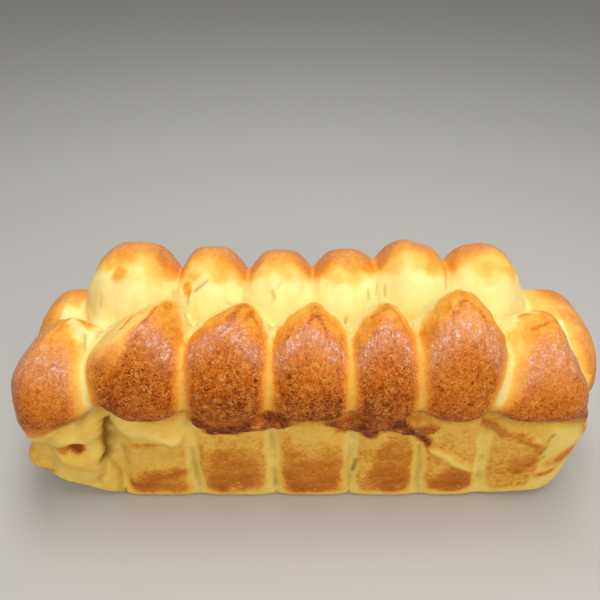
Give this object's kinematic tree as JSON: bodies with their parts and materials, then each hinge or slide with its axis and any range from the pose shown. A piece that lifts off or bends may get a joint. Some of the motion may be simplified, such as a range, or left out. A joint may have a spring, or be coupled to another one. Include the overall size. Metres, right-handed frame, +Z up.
{
  "type": "brioche loaf",
  "caption": "Pull-apart brioche loaf out of its tin: rows of glossy brown dough balls domed above the rim, flat paler sides below, resting on a flat foot.",
  "frame": {"origin": "on the resting plane under the middle of the loaf's box", "axes": "+X along the loaf's length, to the right as seen from its front row; -Y towards the front row; +Z up"},
  "size_m": [0.3198, 0.12, 0.1257],
  "materials": {
    "crust": "egg-washed baked crust: glossy chestnut brown domes, pale yellow creases and valley, tan sides"
  },
  "bodies": {
    "root": {"loaf": "crust"}
  },
  "joints": []
}
